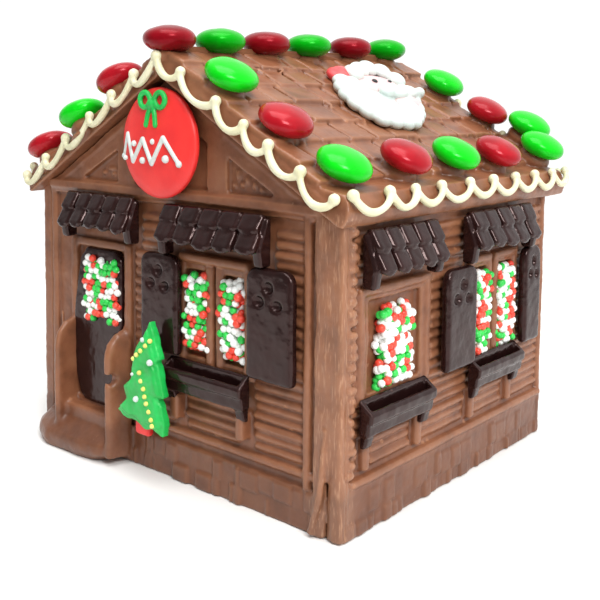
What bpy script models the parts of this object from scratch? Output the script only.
"""Moulded chocolate house with sweets and piped white icing.

Metres, +Z up. The front gable faces -Y, and the house stands on z = 0. Six moulded
panels (four walls, two roof slopes) carry dark door, shutters, awnings and flower boxes,
candy-coated chocolate lentils, sugar ornaments and scalloped ropes of icing.

Everything is drawn first in the house's own frame, whose z axis runs down from the ridge
through the middle of the walls. The finished pieces hang on one empty that moves the
middle of the outer box over the origin.
"""

import math

import bmesh
import bpy
from mathutils import Matrix, Vector

MM = 0.001

# ---- driving dimensions: the house -------------------------------------------------
HALF_WIDTH = 57.5 * MM  # middle to the outer face of a side wall, at the eaves
HALF_DEPTH = 49.5 * MM  # middle to the outer face of a gable wall, at the eaves
EAVES_Z = 76.8 * MM  # height where the walls have exactly the sizes above
BASE_FLARE = 0.03  # the walls grow by this share from the eaves down to the ground
WALL_T = 4.5 * MM
GAP = 0.3 * MM  # clearance between pieces that touch

# ---- driving dimensions: the roof --------------------------------------------------
UNDER_APEX_Z = 108.4 * MM  # where the undersides of both slopes meet
UNDER_SLOPE = 0.57  # fall of the underside for each unit of x
CREST_APEX_Z = 115.4 * MM  # where the lines over the tile edges would meet
CREST_SLOPE = 0.60  # fall of the line that joins the tile edges
RIDGE_Z = (113.7 * MM, 115.7 * MM)  # the ridge, at the front and at the back
RIDGE_HALF = 2.8 * MM  # half the width of its cap
FLARE_X = 46.0 * MM  # from here out the roof flattens towards the eave
EAVE_TOP = (59.0 * MM, 82.3 * MM)  # x and z of the upper edge of the eave
EAVE_FOOT = (59.4 * MM, 75.0 * MM)  # x and z of its lower edge
EAVE_BULGE = 1.4 * MM
ROOF_FRONT = -53.2 * MM
ROOF_BACK = 58.0 * MM
VERGE_DRAFT = 1.7 * MM  # the gable edges lean in by this from underside to crest
TILE_ROWS = 6
TILE_LIFT = 0.9 * MM  # a tile's lower edge stands this proud of the next row

# ---- driving dimensions: boards, base and openings ------------------------------
BOARD_PITCH = 2.57 * MM
BOARD_RELIEF = 0.9 * MM
BOARDS_FROM_Z = 16.5 * MM
BOARD_COUNT = 22
PLINTH_Z = 11.3 * MM
PLINTH_OUT = 0.6 * MM
PLINTH_SPREAD = 0.3 * MM  # it stands out this much more at the ground
# Rounding of the walls' upright corners: along the side wall, and off its outer face.
CORNER_SLIGHT = (1.4 * MM, 0.7 * MM)
CORNER_MELTED = (3.2 * MM, 2.6 * MM)
MOULDING_Z = (12.2 * MM, 14.8 * MM)
MOULDING_OUT = 1.2 * MM
FRAME_OUT = 0.8 * MM  # window and door surrounds
GABLE_OUT = 0.5 * MM  # the timbered gable above the tie beam
RECESS_IN = 2.0 * MM
POST_W = 6.5 * MM  # flat strip at the ends of a gable wall
BEAD_W = 2.3 * MM  # upright bead beside that strip

# ---- driving dimensions: porch and windows ------------------------------------------
# Openings in wall coordinates: left, right, bottom, top.
DOOR_SURROUND = (-43.0 * MM, -15.7 * MM, 13.0 * MM, 62.6 * MM)
DOOR_HOLE = (-40.4 * MM, -19.2 * MM, 13.6 * MM, 60.6 * MM)
CHEEK_TOP = 39.0 * MM
CHEEK_OUT = 7.8 * MM
# distance from the door hole, and the share of the reach left there
CHEEK_FLARE = ((0.0, 1.0), (2.0 * MM, 0.97), (3.0 * MM, 0.5), (3.9 * MM, 0.2))
TREAD = (4.4 * MM, 13.6 * MM)  # reach of the upper tread, and its height

# Lower step in mm: its height levels, each with the same corners in (along, out).
STEP_PLANS = (
    (0.0, ((-20.0, -1.0), (-20.8, 1.6), (-22.4, 4.2), (-25.2, 6.8), (-31.6, 8.1),
           (-44.0, 8.6), (-49.4, 7.0), (-52.6, 5.0), (-53.4, 2.6), (-53.2, -1.0))),
    (3.0, ((-16.6, -1.0), (-16.9, 2.4), (-17.9, 5.8), (-21.4, 8.4), (-29.0, 9.2),
           (-45.2, 9.2), (-50.8, 7.2), (-54.6, 4.6), (-55.8, 2.0), (-55.6, -1.0))),
    (5.4, ((-16.2, -1.0), (-16.6, 2.4), (-17.6, 5.8), (-21.0, 8.0), (-29.0, 8.6),
           (-45.0, 8.6), (-50.4, 6.8), (-53.8, 4.2), (-55.0, 1.8), (-54.8, -1.0))),
    (8.8, ((-17.0, -1.0), (-17.2, 1.8), (-18.0, 3.8), (-21.4, 4.8), (-29.0, 5.2),
           (-43.4, 5.2), (-47.6, 4.2), (-50.4, 3.0), (-52.0, 1.6), (-52.4, -1.0))),
)
GABLE_RECESS = ((14.0 * MM, 80.0 * MM), (36.4 * MM, 80.0 * MM), (14.0 * MM, 93.0 * MM))

FRONT_WINDOW = {
    "surround": (4.2 * MM, 29.2 * MM, 34.5 * MM, 63.2 * MM),
    "panes": (
        (6.2 * MM, 15.0 * MM, 37.5 * MM, 59.2 * MM),
        (18.8 * MM, 27.6 * MM, 37.5 * MM, 59.2 * MM),
    ),
}
BACK_WINDOW = {
    "surround": (-12.5 * MM, 12.5 * MM, 34.5 * MM, 63.2 * MM),
    "panes": (
        (-10.7 * MM, -1.9 * MM, 37.5 * MM, 59.2 * MM),
        (1.9 * MM, 10.7 * MM, 37.5 * MM, 59.2 * MM),
    ),
}
SIDE_WINDOWS = (
    {
        "surround": (-44.4 * MM, -14.2 * MM, 33.0 * MM, 59.6 * MM),
        "panes": ((-40.2 * MM, -18.4 * MM, 34.6 * MM, 56.8 * MM),),
    },
    {
        "surround": (4.9 * MM, 31.6 * MM, 33.0 * MM, 61.0 * MM),
        "panes": (
            (6.6 * MM, 15.6 * MM, 34.6 * MM, 58.2 * MM),
            (19.6 * MM, 30.0 * MM, 34.6 * MM, 58.2 * MM),
        ),
    },
)

# ---- driving dimensions: dark pieces ------------------------------------------------
SHUTTER_T = 2.3 * MM
AWNING_OUT = 6.0 * MM
BOX_OUT = 4.8 * MM  # reach of the trough's rim
BOX_LEAN = 1.1 * MM  # its floor reaches this much less
BOX_WALL = 1.0 * MM
BRACKET_W = 3.0 * MM

# ---- driving dimensions: sweets -----------------------------------------------------
LENTIL_D = 13.6 * MM
LENTIL_T = 6.9 * MM
LENTIL_SEGMENTS = 11
LENTIL_RINGS = 6
ROPE_R = 1.25 * MM
KNOB_R = 1.65 * MM
ROPE_SIDES = 5
ROPE_STEPS = (0.0, 0.14, 0.36, 0.64, 0.86)  # ring places along one swag

# Piped ropes: heights above the underside of the roof, and the knobs along each edge.
SWAG_HIGH = 5.7 * MM  # above the underside of the roof
SWAG_LOW = 1.5 * MM
ROPE_APEX_Z = 113.2 * MM  # the knob on the apex keeps clear of the sweet above it
EAVE_LOW = 77.8 * MM
RIGHT_KNOBS = [n * MM for n in (8.6, 20.9, 30.1, 37.9, 47.6, 57.4)]
LEFT_KNOBS = [n * MM for n in (-60.0, -50.0, -39.8, -28.5, -18.5, -9.2)]
EAVE_KNOBS = [n * MM for n in (-50.4, -36.6, -25.9, -14.3, -0.5, 11.9, 24.4, 36.2, 47.6, 56.4)]

# y and x on the slope, lift on its dab of chocolate (mm), colour
RIGHT_LENTILS = (
    (-46.8, 17.6, 0.6, "green"),
    (-45.4, 34.2, 0.6, "red"),
    (-43.8, 50.2, 1.0, "green"),
    (-20.2, 51.4, 0.7, "red"),
    (3.2, 51.4, 0.7, "green"),
    (25.4, 52.0, 0.7, "red"),
    (51.6, 52.0, 1.6, "green"),
    (54.4, 31.8, 0.6, "red"),
    (50.9, 17.4, 0.6, "green"),
    (59.4, 42.7, 3.3, "green"),
)
LEFT_LENTILS = (
    (-48.4, 18.6, 0.4, "red"),
    (-49.6, 34.4, 0.4, "green"),
    (-48.2, 52.4, 0.6, "red"),
    (-24.0, 51.6, 0.6, "green"),
    (0.4, 51.8, 0.6, "red"),
    (25.0, 51.4, 0.6, "green"),
    (50.4, 51.8, 0.6, "red"),
    (51.0, 34.0, 0.4, "green"),
    (49.6, 18.2, 0.4, "red"),
)
RIDGE_LENTILS = (-49.0, -31.0, -12.8, 5.9, 26.2, 45.4)

# ---- driving dimensions: sugar ornaments ----------------------------------------------
BAUBLE_PLACE = (0.4 * MM, 91.4 * MM)  # along the front wall, and height
BAUBLE_R = 13.8 * MM
# share of the radius and height off the gable, from the back to the face
BAUBLE_RINGS = ((0.94, 0.0), (1.0, 1.3 * MM), (0.95, 3.2 * MM), (0.74, 4.4 * MM))
# Fir tiers in mm: top, lower edge, half the width at the top and at the lower edge.
TREE_TIERS = ((45.6, 33.2, 0.4, 5.4), (42.6, 24.4, 2.85, 8.4), (33.8, 15.6, 3.72, 9.6))
TREE_FOOT = ((2.2, 15.0), (2.0, 11.4), (-2.6, 11.4), (-2.4, 15.0))
TREE_PIVOT = (-2.6, 28.0)
TREE_LEAN = 9.0  # degrees
# share of the outline and distance off the wall in mm, from the back to the face
TREE_RINGS = ((0.93, 5.2), (1.0, 6.2), (1.0, 7.4), (0.86, 8.4))
FIGURE_PLACE = (22.6 * MM, 10.4 * MM)
FIGURE_SIZE = (36.0 * MM, 31.5 * MM)  # down the slope, along the roof
FIGURE_TURN = -20.0  # degrees, the beard points a little to the front
FIGURE_LOBES = 15
# share of the outline and rise over the tiles, from the back to the face
FIGURE_RINGS = ((0.96, 0.0), (1.0, 1.4 * MM), (0.86, 3.4 * MM), (0.5, 4.4 * MM))

MILK = (0.235, 0.120, 0.068)
DARK = (0.045, 0.028, 0.026)
RED = (0.62, 0.025, 0.035)
GREEN = (0.02, 0.62, 0.03)
CREAM = (0.80, 0.79, 0.62)
SUGAR_RED = (0.80, 0.06, 0.06)
SUGAR_GREEN = (0.03, 0.55, 0.10)
SUGAR_WHITE = (0.84, 0.90, 0.86)


# ---- scene helpers ------------------------------------------------------------------
def clear_scene():
    for item in list(bpy.data.objects):
        bpy.data.objects.remove(item, do_unlink=True)


def material(name, colour, roughness):
    made = bpy.data.materials.get(name)
    if made is None:
        made = bpy.data.materials.new(name)
        made.use_nodes = True
        shader = made.node_tree.nodes["Principled BSDF"]
        shader.inputs["Base Color"].default_value = (*colour, 1.0)
        shader.inputs["Roughness"].default_value = roughness
        shader.inputs["Metallic"].default_value = 0.0
    return made


def object_from(bm, name="tool"):
    """Close a bmesh into an object with its faces pointing out."""
    bmesh.ops.remove_doubles(bm, verts=bm.verts[:], dist=0.00001)
    bmesh.ops.recalc_face_normals(bm, faces=bm.faces[:])
    mesh = bpy.data.meshes.new(name)
    bm.to_mesh(mesh)
    bm.free()
    made = bpy.data.objects.new(name, mesh)
    bpy.context.scene.collection.objects.link(made)
    return made


def boolean(target, tool, operation):
    """Run one exact Boolean for good and remove the tool."""
    modifier = target.modifiers.new("Cut", "BOOLEAN")
    modifier.operation = operation
    modifier.solver = "EXACT"
    modifier.object = tool
    graph = bpy.context.evaluated_depsgraph_get()
    mesh = bpy.data.meshes.new_from_object(target.evaluated_get(graph))
    target.modifiers.clear()
    target.data = mesh
    bpy.data.objects.remove(tool, do_unlink=True)


def add(target, *tools):
    for tool in tools:
        boolean(target, tool, "UNION")


def cut(target, *tools):
    for tool in tools:
        boolean(target, tool, "DIFFERENCE")


def loft(rings, closed=False):
    """Skin a row of rings that have the same number of points."""
    bm = bmesh.new()
    rows = [[bm.verts.new(point) for point in ring] for ring in rings]
    count = len(rows[0])
    pairs = list(zip(rows, rows[1:]))
    if closed:
        pairs.append((rows[-1], rows[0]))
    for low, high in pairs:
        for i in range(count):
            j = (i + 1) % count
            bm.faces.new((low[i], low[j], high[j], high[i]))
    if not closed:
        bm.faces.new(rows[0][::-1])
        bm.faces.new(rows[-1])
    return bm


# ---- frames of the four walls -------------------------------------------------------
def on_front(along, out, z):
    return Vector((along, -HALF_DEPTH - out, z))


def on_back(along, out, z):
    return Vector((-along, HALF_DEPTH + out, z))


def on_right(along, out, z):
    return Vector((HALF_WIDTH + out, along, z))


def on_left(along, out, z):
    return Vector((-HALF_WIDTH - out, along, z))


def flare(item):
    """Widen a finished piece towards the ground, as the walls lean out."""
    for vert in item.data.vertices:
        grow = 1 + BASE_FLARE * (1 - vert.co.z / EAVES_Z)
        vert.co.x *= grow
        vert.co.y *= grow


def block(frame, along, out, z):
    """Box between two values of each wall coordinate."""
    corners = ((0, 0), (1, 0), (1, 1), (0, 1))
    rings = [[frame(a, out[i], z[j]) for i, j in corners] for a in along]
    return object_from(loft(rings))


def profile_bar(frame, along, profile):
    """Extrude an (out, z) outline along the wall."""
    return object_from(loft([[frame(a, out, z) for out, z in profile] for a in along]))


def plan_stack(frame, levels):
    """Skin (along, out) outlines that lie on top of each other, each given with its z."""
    return object_from(loft([[frame(a, out, z) for a, out in plan] for z, plan in levels]))


def face_plate(frame, outline, out):
    """Extrude an (along, z) outline from the wall outwards."""
    return object_from(loft([[frame(a, o, z) for a, z in outline] for o in out]))


# ---- walls --------------------------------------------------------------------------
def board_profile(top_in, top_out):
    """Cross-section of a boarded wall, from the ground up to its top corners."""
    points = [(-WALL_T, 0.0), (PLINTH_OUT + PLINTH_SPREAD, 0.0)]
    points += [(PLINTH_OUT, PLINTH_Z), (0.0, PLINTH_Z)]
    points += [(0.0, MOULDING_Z[0]), (MOULDING_OUT, MOULDING_Z[0] + 0.8 * MM)]
    points += [(MOULDING_OUT, MOULDING_Z[1] - 0.8 * MM), (0.0, MOULDING_Z[1])]
    for i in range(BOARD_COUNT):
        z = BOARDS_FROM_Z + i * BOARD_PITCH
        points += [(-BOARD_RELIEF, z), (0.0, z + 0.45 * BOARD_PITCH)]
    points += [(top_out[0], top_out[1]), (top_in[0], top_in[1])]
    return points


def under_roof(x):
    return UNDER_APEX_Z - UNDER_SLOPE * abs(x) - GAP


def window(target, frame, surround, panes):
    """Raised surround, then one sunk field for each pane."""
    add(target, block(frame, surround[:2], (-1.5 * MM, FRAME_OUT), surround[2:]))
    for left, right, low, high in panes:
        cut(target, block(frame, (left, right), (-RECESS_IN, 2 * MM), (low, high)))


def side_wall(name, frame, front_corner):
    """Boarded wall over the full depth; its ends cover the ends of the gable walls."""
    inner_x = HALF_WIDTH - WALL_T
    profile = board_profile((-WALL_T, under_roof(inner_x)), (0.0, under_roof(HALF_WIDTH)))
    rings = []
    for along, less in (
        (-HALF_DEPTH, front_corner[1]),
        (-HALF_DEPTH + front_corner[0], 0.0),
        (HALF_DEPTH - CORNER_SLIGHT[0], 0.0),
        (HALF_DEPTH, CORNER_SLIGHT[1]),
    ):
        rings.append([frame(along, max(out - less, -WALL_T), z) for out, z in profile])
    wall = object_from(loft(rings))
    for place in SIDE_WINDOWS:
        window(wall, frame, place["surround"], place["panes"])
    return finish(wall, name, "milk_chocolate", MILK, 0.42, flared=True)


def gable_wall(name, frame, fit_out):
    """Boarded wall between the side walls, with a timbered gable above the tie beam."""
    half = HALF_WIDTH - WALL_T - GAP
    wall = profile_bar(
        frame, (-half, half), board_profile((-WALL_T, EAVES_Z), (0.0, EAVES_Z))
    )
    outline = [(-half, EAVES_Z - 2 * MM), (half, EAVES_Z - 2 * MM), (half, under_roof(half))]
    outline += [(0.0, under_roof(0.0)), (-half, under_roof(half))]
    add(wall, face_plate(frame, outline, (-WALL_T, GABLE_OUT)))
    for side in (-1, 1):
        recess = [(side * a, z) for a, z in GABLE_RECESS]
        cut(wall, face_plate(frame, recess, (-0.8 * MM, 2 * MM)))
        inner = side * (half - POST_W)
        strip = sorted((side * half, inner))
        bead = sorted((inner, inner + side * BEAD_W))
        add(wall, block(frame, strip, (-2 * MM, 0.3 * MM), (2 * MM, EAVES_Z - 1 * MM)))
        add(wall, block(frame, bead, (-2 * MM, 1.0 * MM), (PLINTH_Z, EAVES_Z - 1 * MM)))
    fit_out(wall, frame)
    return finish(wall, name, "milk_chocolate", MILK, 0.42, flared=True)


def cheek_profile(share):
    """Side view of a porch cheek: it curves out of the wall and runs down to the step."""
    reach = CHEEK_OUT * share
    top = CHEEK_TOP - 3 * MM * (1 - share)
    points = [(-1 * MM, 2 * MM), (-1 * MM, top)]
    for i in range(4):
        turn = math.radians(90 - 30 * i)
        out = reach * (0.12 + 0.88 * math.cos(turn))
        points.append((out, top - CHEEK_OUT * (1 - math.sin(turn))))
    return points + [(reach, 2 * MM)]


def porch(wall, frame):
    """Door surround, two cheeks, the upper tread and the rounded lower step."""
    add(wall, block(frame, DOOR_SURROUND[:2], (-1.5 * MM, FRAME_OUT), DOOR_SURROUND[2:]))
    left, right, low, high = DOOR_HOLE
    cut(wall, block(frame, (left, right), (-RECESS_IN, 2 * MM), (low, high)))
    levels = [(z * MM, [(a * MM, out * MM) for a, out in plan]) for z, plan in STEP_PLANS]
    step = plan_stack(frame, levels)
    wall_end = -(HALF_WIDTH - WALL_T - GAP)
    cut(step, block(frame, (2 * wall_end, wall_end), (-5 * MM, GAP), (-5 * MM, 20 * MM)))
    add(wall, step)
    add(wall, block(frame, (left, right), (-1.8 * MM, TREAD[0]), (6 * MM, TREAD[1])))
    for inner, sign in ((left, -1), (right, 1)):
        rings = []
        for further, share in CHEEK_FLARE:
            along = inner + sign * further
            rings.append([frame(along, out, z) for out, z in cheek_profile(share)])
        add(wall, object_from(loft(rings)))
    window(wall, frame, FRONT_WINDOW["surround"], FRONT_WINDOW["panes"])


def back_window(wall, frame):
    window(wall, frame, BACK_WINDOW["surround"], BACK_WINDOW["panes"])


# ---- dark pieces --------------------------------------------------------------------
def awning(name, frame, along, z_top, z_low):
    """Two rows of tiles on a lean-to with turned-in ends, on two triangular brackets."""
    z_mid = 0.5 * (z_top + z_low) + 0.5 * MM
    half = 0.5 * AWNING_OUT
    face = GAP + 0.9 * MM
    profile = [(GAP + FRAME_OUT, z_low - 0.6 * MM), (GAP + FRAME_OUT, z_top)]
    profile += [(face + 0.7 * MM, z_top), (half + 1.4 * MM, z_mid)]
    profile += [(half + 0.5 * MM, z_mid - 0.6 * MM), (AWNING_OUT, z_low + 0.9 * MM)]
    profile += [(AWNING_OUT - 0.4 * MM, z_low - 0.3 * MM)]
    left, right = along
    rings = []
    for end, sign in ((left, 1), (right, -1)):
        ring = []
        for out, z in profile:
            turn_in = 1.6 * MM * (out - GAP) / AWNING_OUT
            ring.append(frame(end + sign * turn_in, out, z))
        rings.append(ring)
    body = object_from(loft(rings))
    root = GAP + FRAME_OUT
    bracket = [(root, z_low - 5.6 * MM), (root, z_low + 1 * MM)]
    bracket += [(AWNING_OUT - 1.5 * MM, z_low + 0.4 * MM), (AWNING_OUT - 2.1 * MM, z_low - 1.5 * MM)]
    for start in (left + 1.9 * MM, right - 1.9 * MM - BRACKET_W):
        add(body, profile_bar(frame, (start, start + BRACKET_W), bracket))
    return finish(body, name, "dark_chocolate", DARK, 0.22, flared=True)


def shutter(name, frame, along, z):
    """Flat board with rounded upper corners and a bevelled face."""
    left, right = along
    low, high = z
    radius = 2.6 * MM
    outline = [(left, low), (right, low)]
    for centre, start in ((right - radius, 0), (left + radius, 90)):
        for i in range(3):
            turn = math.radians(start + 45 * i)
            outline.append((centre + radius * math.cos(turn), high - radius + radius * math.sin(turn)))
    middle = Vector(((left + right) / 2, (low + high) / 2))
    inset = [middle + (Vector(point) - middle) * 0.93 for point in outline]
    base = GAP + FRAME_OUT
    rings = [
        [frame(a, base, z) for a, z in outline],
        [frame(a, base + SHUTTER_T - 0.7 * MM, z) for a, z in outline],
        [frame(a, base + SHUTTER_T, z) for a, z in inset],
    ]
    return finish(object_from(loft(rings)), name, "dark_chocolate", DARK, 0.22, flared=True)


def flower_box(name, frame, along, z_low, z_top):
    """Open trough that leans out at the top, on two short legs."""
    base = GAP + FRAME_OUT
    left, right = along
    floor = z_low + 3.2 * MM
    profile = [(base, z_low), (BOX_OUT - BOX_LEAN, z_low), (BOX_OUT, z_top), (base, z_top)]
    body = profile_bar(frame, along, profile)
    hollow = [(base + 0.6 * MM, floor), (BOX_OUT - BOX_LEAN - BOX_WALL + 0.5 * MM, floor)]
    hollow += [(BOX_OUT - BOX_WALL, z_top + 1 * MM), (base + 0.6 * MM, z_top + 1 * MM)]
    cut(body, profile_bar(frame, (left + 1.4 * MM, right - 1.4 * MM), hollow))
    leg = [(base, z_low - 3.4 * MM), (BOX_OUT - 2.4 * MM, z_low - 3.0 * MM)]
    leg += [(BOX_OUT - BOX_LEAN - 0.3 * MM, z_low + 0.6 * MM), (base, z_low + 0.6 * MM)]
    for start in (left + 0.4 * MM, right - 0.4 * MM - BRACKET_W):
        add(body, profile_bar(frame, (start, start + BRACKET_W), leg))
    return finish(body, name, "dark_chocolate", DARK, 0.22, flared=True)


def door():
    """Door leaf in its recess, with a raised field and a knob."""
    left, right, low, high = DOOR_HOLE
    inset = 3.0 * MM
    rear = -RECESS_IN + GAP
    rings = []
    for margin, out in ((GAP, rear), (GAP, rear + 1.0 * MM), (inset, rear + 1.3 * MM)):
        corners = [(left + margin, low + margin), (right - margin, low + margin)]
        corners += [(right - margin, high - margin), (left + margin, high - margin)]
        rings.append([on_front(a, out, z) for a, z in corners])
    leaf = object_from(loft(rings))
    bm = bmesh.new()
    place = Matrix.Translation(on_front(right - 2.6 * MM, rear + 1.4 * MM, 35.5 * MM))
    bmesh.ops.create_uvsphere(bm, u_segments=8, v_segments=5, radius=1.1 * MM, matrix=place)
    add(leaf, object_from(bm))
    return finish(leaf, "door", "dark_chocolate", DARK, 0.22, flared=True)


# ---- roof ---------------------------------------------------------------------------
def crest_z(x):
    """Height of the line over the tile edges at a distance x from the ridge."""
    flat = CREST_APEX_Z - CREST_SLOPE * min(x, FLARE_X)
    if x <= FLARE_X:
        return flat
    share = (x - FLARE_X) / (EAVE_TOP[0] - FLARE_X)
    return flat + share * (EAVE_TOP[1] - flat)


def eave_x(z):
    """Outer face of the eave at a height z."""
    share = (z - EAVE_FOOT[1]) / (EAVE_TOP[1] - EAVE_FOOT[1])
    share = min(max(share, 0.0), 1.0)
    straight = EAVE_FOOT[0] + share * (EAVE_TOP[0] - EAVE_FOOT[0])
    return straight + EAVE_BULGE * math.sin(math.pi * share)


def ridge_z(y):
    """Height of the ridge, which climbs a little towards the back."""
    share = (y - ROOF_FRONT) / (ROOF_BACK - ROOF_FRONT)
    return RIDGE_Z[0] + share * (RIDGE_Z[1] - RIDGE_Z[0])


def roof_profile(ridge):
    """Slope in x and z: ridge cap, stepped tile rows, a rounded eave, a flat underside."""
    points = [(GAP / 2, ridge), (RIDGE_HALF, crest_z(RIDGE_HALF))]
    row = FLARE_X / TILE_ROWS
    for i in range(1, TILE_ROWS + 1):
        x = i * row
        points.append((x, crest_z(x)))
        points.append((x + 0.35 * MM, crest_z(x) - TILE_LIFT))
    points.append(EAVE_TOP)
    for share in (0.75, 0.5, 0.25):
        z = EAVE_FOOT[1] + share * (EAVE_TOP[1] - EAVE_FOOT[1])
        points.append((eave_x(z), z))
    points.append(EAVE_FOOT)
    inner = EAVE_FOOT[0] - 1.0 * MM
    points.append((inner, UNDER_APEX_Z - UNDER_SLOPE * inner))
    points.append((GAP / 2, UNDER_APEX_Z - UNDER_SLOPE * GAP / 2))
    return points


def verge_lean(x, z):
    """How far a gable edge leans in at a point of the slope's section."""
    above = z - (UNDER_APEX_Z - UNDER_SLOPE * x)
    return VERGE_DRAFT * above / (CREST_APEX_Z - UNDER_APEX_Z)


def roof_slope(name, side):
    front = []
    for x, z in roof_profile(RIDGE_Z[0]):
        front.append((side * x, ROOF_FRONT + verge_lean(x, z), z))
    back = []
    for x, z in roof_profile(RIDGE_Z[1]):
        back.append((side * x, ROOF_BACK - verge_lean(x, z), z))
    return finish(object_from(loft([front, back])), name, "milk_chocolate", MILK, 0.42)


# ---- piped icing --------------------------------------------------------------------
def swag_steps(ends):
    """Yield the place along a row of swags, and 1 at a knob down to 0 at a low point."""
    for start, stop in zip(ends, ends[1:]):
        for share in ROPE_STEPS:
            yield start + share * (stop - start), 1 - math.sin(math.pi * share) ** 0.6
    yield ends[-1], 1.0


def rope(name, path, normals):
    """Five-sided tube along a path, thicker where it turns at a knob."""
    rings = []
    last = len(path) - 1
    for i, (point, high) in enumerate(path):
        ahead = path[min(i + 1, last)][0] - path[max(i - 1, 0)][0]
        outward = (normals[i] - normals[i].project(ahead)).normalized()
        across = ahead.normalized().cross(outward)
        radius = ROPE_R + (KNOB_R - ROPE_R) * (1.0 if high > 0.99 else 0.0)
        ring = []
        for k in range(ROPE_SIDES):
            turn = 2 * math.pi * k / ROPE_SIDES
            ring.append(point + radius * (math.cos(turn) * outward + math.sin(turn) * across))
        rings.append(ring)
    made = finish(object_from(loft(rings)), name, "white_icing", CREAM, 0.35)
    made.data.shade_smooth()
    return made


def verge_rope(name, ends, face_y, sign):
    """Swags over both slopes along a gable edge. sign is the way the edge faces in y."""
    path = []
    for x, high in swag_steps(ends):
        above = SWAG_LOW + (SWAG_HIGH - SWAG_LOW) * high
        z = min(UNDER_APEX_Z - UNDER_SLOPE * abs(x) + above, ROPE_APEX_Z)
        y = face_y + sign * (KNOB_R + GAP - verge_lean(abs(x), z))
        path.append((Vector((x, y, z)), high))
    return rope(name, path, [Vector((0, sign, 0))] * len(path))


def eave_rope(name, ends, side):
    """Swags along the rounded eave."""
    path = []
    for y, high in swag_steps(ends):
        z = EAVE_LOW + (EAVE_TOP[1] - EAVE_LOW) * high
        path.append((Vector((side * (eave_x(z) + KNOB_R + GAP), y, z)), high))
    return rope(name, path, [Vector((side, 0, 0))] * len(path))


# ---- candy-coated lentils -----------------------------------------------------------
def slope_frame(side):
    """Rotation that turns +Z to the slope's outward normal."""
    return Matrix.Rotation(side * math.atan(CREST_SLOPE), 4, "Y")


def lentil(name, colour, place, turn):
    bm = bmesh.new()
    size = Matrix.Diagonal((LENTIL_D / 2, LENTIL_D / 2, LENTIL_T / 2, 1.0))
    bmesh.ops.create_uvsphere(
        bm, u_segments=LENTIL_SEGMENTS, v_segments=LENTIL_RINGS, radius=1.0, matrix=turn @ size
    )
    made = object_from(bm)
    made.location = place
    made = finish(made, name, f"candy_{colour}", RED if colour == "red" else GREEN, 0.16)
    made.data.shade_smooth()
    return made


def slope_lentils(prefix, side, places):
    """Lentils on one slope, each given by y, x at the crest, extra lift and colour."""
    tilt = slope_frame(side)
    normal = tilt.to_3x3() @ Vector((0, 0, 1))
    for i, (y, x, lift, colour) in enumerate(places, 1):
        foot = Vector((side * x * MM, y * MM, crest_z(x * MM)))
        rise = LENTIL_T / 2 + GAP + lift * MM
        lentil(f"{prefix}_{i}", colour, foot + normal * rise, tilt)


# ---- sugar ornaments ------------------------------------------------------------------
def ornament():
    """Round sugar bauble on the gable, with a domed face."""
    centre_a, centre_z = BAUBLE_PLACE
    back = GABLE_OUT + GAP
    rings = []
    for share, out in BAUBLE_RINGS:
        radius = share * BAUBLE_R
        ring = []
        for i in range(20):
            turn = 2 * math.pi * i / 20
            along = centre_a + radius * math.cos(turn)
            ring.append(on_front(along, back + out, centre_z + radius * math.sin(turn)))
        rings.append(ring)
    made = finish(object_from(loft(rings)), "ornament", "sugar_red", SUGAR_RED, 0.5, flared=True)
    made.data.shade_smooth()
    made.data.set_sharp_from_angle(angle=math.radians(50))
    return made


def tree():
    """Three-tiered sugar fir with a stub of trunk, leaning a little to its left."""
    right = []
    for top, low, half_top, half_low in TREE_TIERS:
        right += [(half_top, top), (half_low, low)]
    left = [(-a, z) for a, z in reversed(right)]
    lean = math.radians(TREE_LEAN)
    pivot_a, pivot_z = TREE_PIVOT
    points = []
    for a, z in right + list(TREE_FOOT) + left:
        above = z - pivot_z
        along = pivot_a + a * math.cos(lean) + above * math.sin(lean)
        height = pivot_z + above * math.cos(lean) - 0.35 * a * math.sin(lean)
        points.append(Vector((along, height)) * MM)
    middle = sum(points, Vector((0.0, 0.0))) / len(points)
    rings = []
    for share, out in TREE_RINGS:
        ring = [middle + (point - middle) * share for point in points]
        rings.append([on_front(along, out * MM, z) for along, z in ring])
    return finish(object_from(loft(rings)), "tree", "sugar_green", SUGAR_GREEN, 0.4, flared=True)


def bearded_figure():
    """Sugar head with a hat, curls and a full beard: a scalloped, domed medallion."""
    tilt = slope_frame(1) @ Matrix.Rotation(math.radians(FIGURE_TURN), 4, "Z")
    normal = slope_frame(1).to_3x3() @ Vector((0, 0, 1))
    x, y = FIGURE_PLACE
    foot = Vector((x, y, crest_z(x))) + normal * GAP
    count = 3 * FIGURE_LOBES
    rings = []
    for share, rise in FIGURE_RINGS:
        ring = []
        for i in range(count):
            turn = 2 * math.pi * i / count
            lobe = share * (0.97 + 0.055 * abs(math.sin(FIGURE_LOBES * turn / 2)))
            down = FIGURE_SIZE[0] / 2 * (1 - 0.10 * math.cos(turn)) * math.cos(turn)
            along = FIGURE_SIZE[1] / 2 * (1 - 0.06 * math.cos(turn)) * math.sin(turn)
            ring.append(foot + tilt.to_3x3() @ Vector((lobe * down, lobe * along, rise)))
        rings.append(ring)
    made = finish(object_from(loft(rings)), "bearded_figure", "sugar_white", SUGAR_WHITE, 0.5)
    made.data.shade_smooth()
    return made


# ---- assembly -----------------------------------------------------------------------
def finish(item, name, material_name, colour, roughness, flared=False):
    """Name a finished piece, give it its material and hang it on the house."""
    item.name = name
    item.data.name = name
    item.data.materials.clear()
    item.data.materials.append(material(material_name, colour, roughness))
    if flared:
        flare(item)
    item.parent = house
    return item


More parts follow.
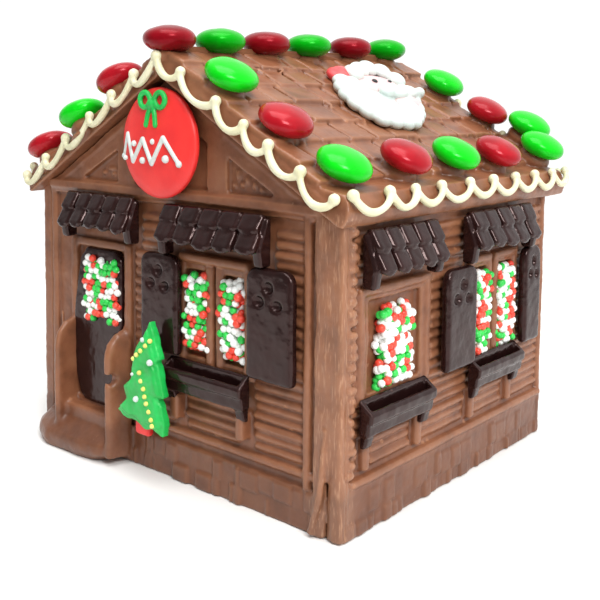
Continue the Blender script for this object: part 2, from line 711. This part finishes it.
def build_side(frame, label, front_corner):
    side_wall(f"wall_{label}", frame, front_corner)
    awning(f"awning_{label}_1", frame, (-42.2 * MM, -14.2 * MM), 73.3 * MM, 65.0 * MM)
    awning(f"awning_{label}_2", frame, (2.2 * MM, 35.8 * MM), 73.3 * MM, 65.0 * MM)
    flower_box(f"windowbox_{label}_1", frame, (-43.4 * MM, -17.2 * MM), 25.6 * MM, 33.0 * MM)
    flower_box(f"windowbox_{label}_2", frame, (5.0 * MM, 29.6 * MM), 25.6 * MM, 33.0 * MM)
    shutter(f"shutter_{label}_1", frame, (-8.2 * MM, 4.3 * MM), (33.8 * MM, 59.0 * MM))
    shutter(f"shutter_{label}_2", frame, (31.2 * MM, 41.2 * MM), (33.8 * MM, 59.0 * MM))


def build_front():
    gable_wall("wall_front", on_front, porch)
    door()
    awning("awning_door", on_front, (-43.4 * MM, -13.0 * MM), 75.6 * MM, 68.4 * MM)
    awning("awning_front", on_front, (-1.6 * MM, 35.0 * MM), 75.6 * MM, 67.8 * MM)
    shutter("shutter_front_1", on_front, (-8.2 * MM, 3.9 * MM), (37.9 * MM, 61.8 * MM))
    shutter("shutter_front_2", on_front, (30.2 * MM, 43.2 * MM), (35.6 * MM, 61.8 * MM))
    flower_box("windowbox_front", on_front, (2.0 * MM, 28.8 * MM), 26.6 * MM, 34.0 * MM)
    ornament()
    tree()


def build_back():
    gable_wall("wall_back", on_back, back_window)
    awning("awning_back", on_back, (-17.0 * MM, 17.0 * MM), 75.6 * MM, 67.8 * MM)
    shutter("shutter_back_1", on_back, (-26.0 * MM, -13.3 * MM), (35.6 * MM, 61.8 * MM))
    shutter("shutter_back_2", on_back, (13.3 * MM, 26.0 * MM), (35.6 * MM, 61.8 * MM))
    flower_box("windowbox_back", on_back, (-13.4 * MM, 13.4 * MM), 26.6 * MM, 34.0 * MM)


def build_roof():
    roof_slope("roof_right", 1)
    roof_slope("roof_left", -1)
    ends = LEFT_KNOBS + [0.0] + RIGHT_KNOBS
    verge_rope("icing_front", ends, ROOF_FRONT, -1)
    verge_rope("icing_back", [-x for x in reversed(ends)], ROOF_BACK, 1)
    eave_rope("icing_right", EAVE_KNOBS, 1)
    eave_rope("icing_left", EAVE_KNOBS, -1)
    slope_lentils("candy_right", 1, RIGHT_LENTILS)
    slope_lentils("candy_left", -1, LEFT_LENTILS)
    for i, y in enumerate(RIDGE_LENTILS, 1):
        place = Vector((0, y * MM, ridge_z(y * MM) + LENTIL_T / 2 + GAP))
        lentil(f"candy_ridge_{i}", "red" if i % 2 else "green", place, Matrix.Identity(4))
    bearded_figure()


def centre_house():
    """Move the middle of the outer box, seen from above, over the origin."""
    bpy.context.view_layer.update()
    low = Vector((1.0, 1.0, 1.0))
    high = -low
    for item in house.children:
        for vert in item.data.vertices:
            point = item.matrix_world @ vert.co
            low = Vector(map(min, low, point))
            high = Vector(map(max, high, point))
    house.location = (-(low.x + high.x) / 2, -(low.y + high.y) / 2, -low.z)


clear_scene()
house = bpy.data.objects.new("house", None)
bpy.context.scene.collection.objects.link(house)
build_front()
build_side(on_right, "right", CORNER_MELTED)
build_side(on_left, "left", CORNER_SLIGHT)
build_back()
build_roof()
centre_house()
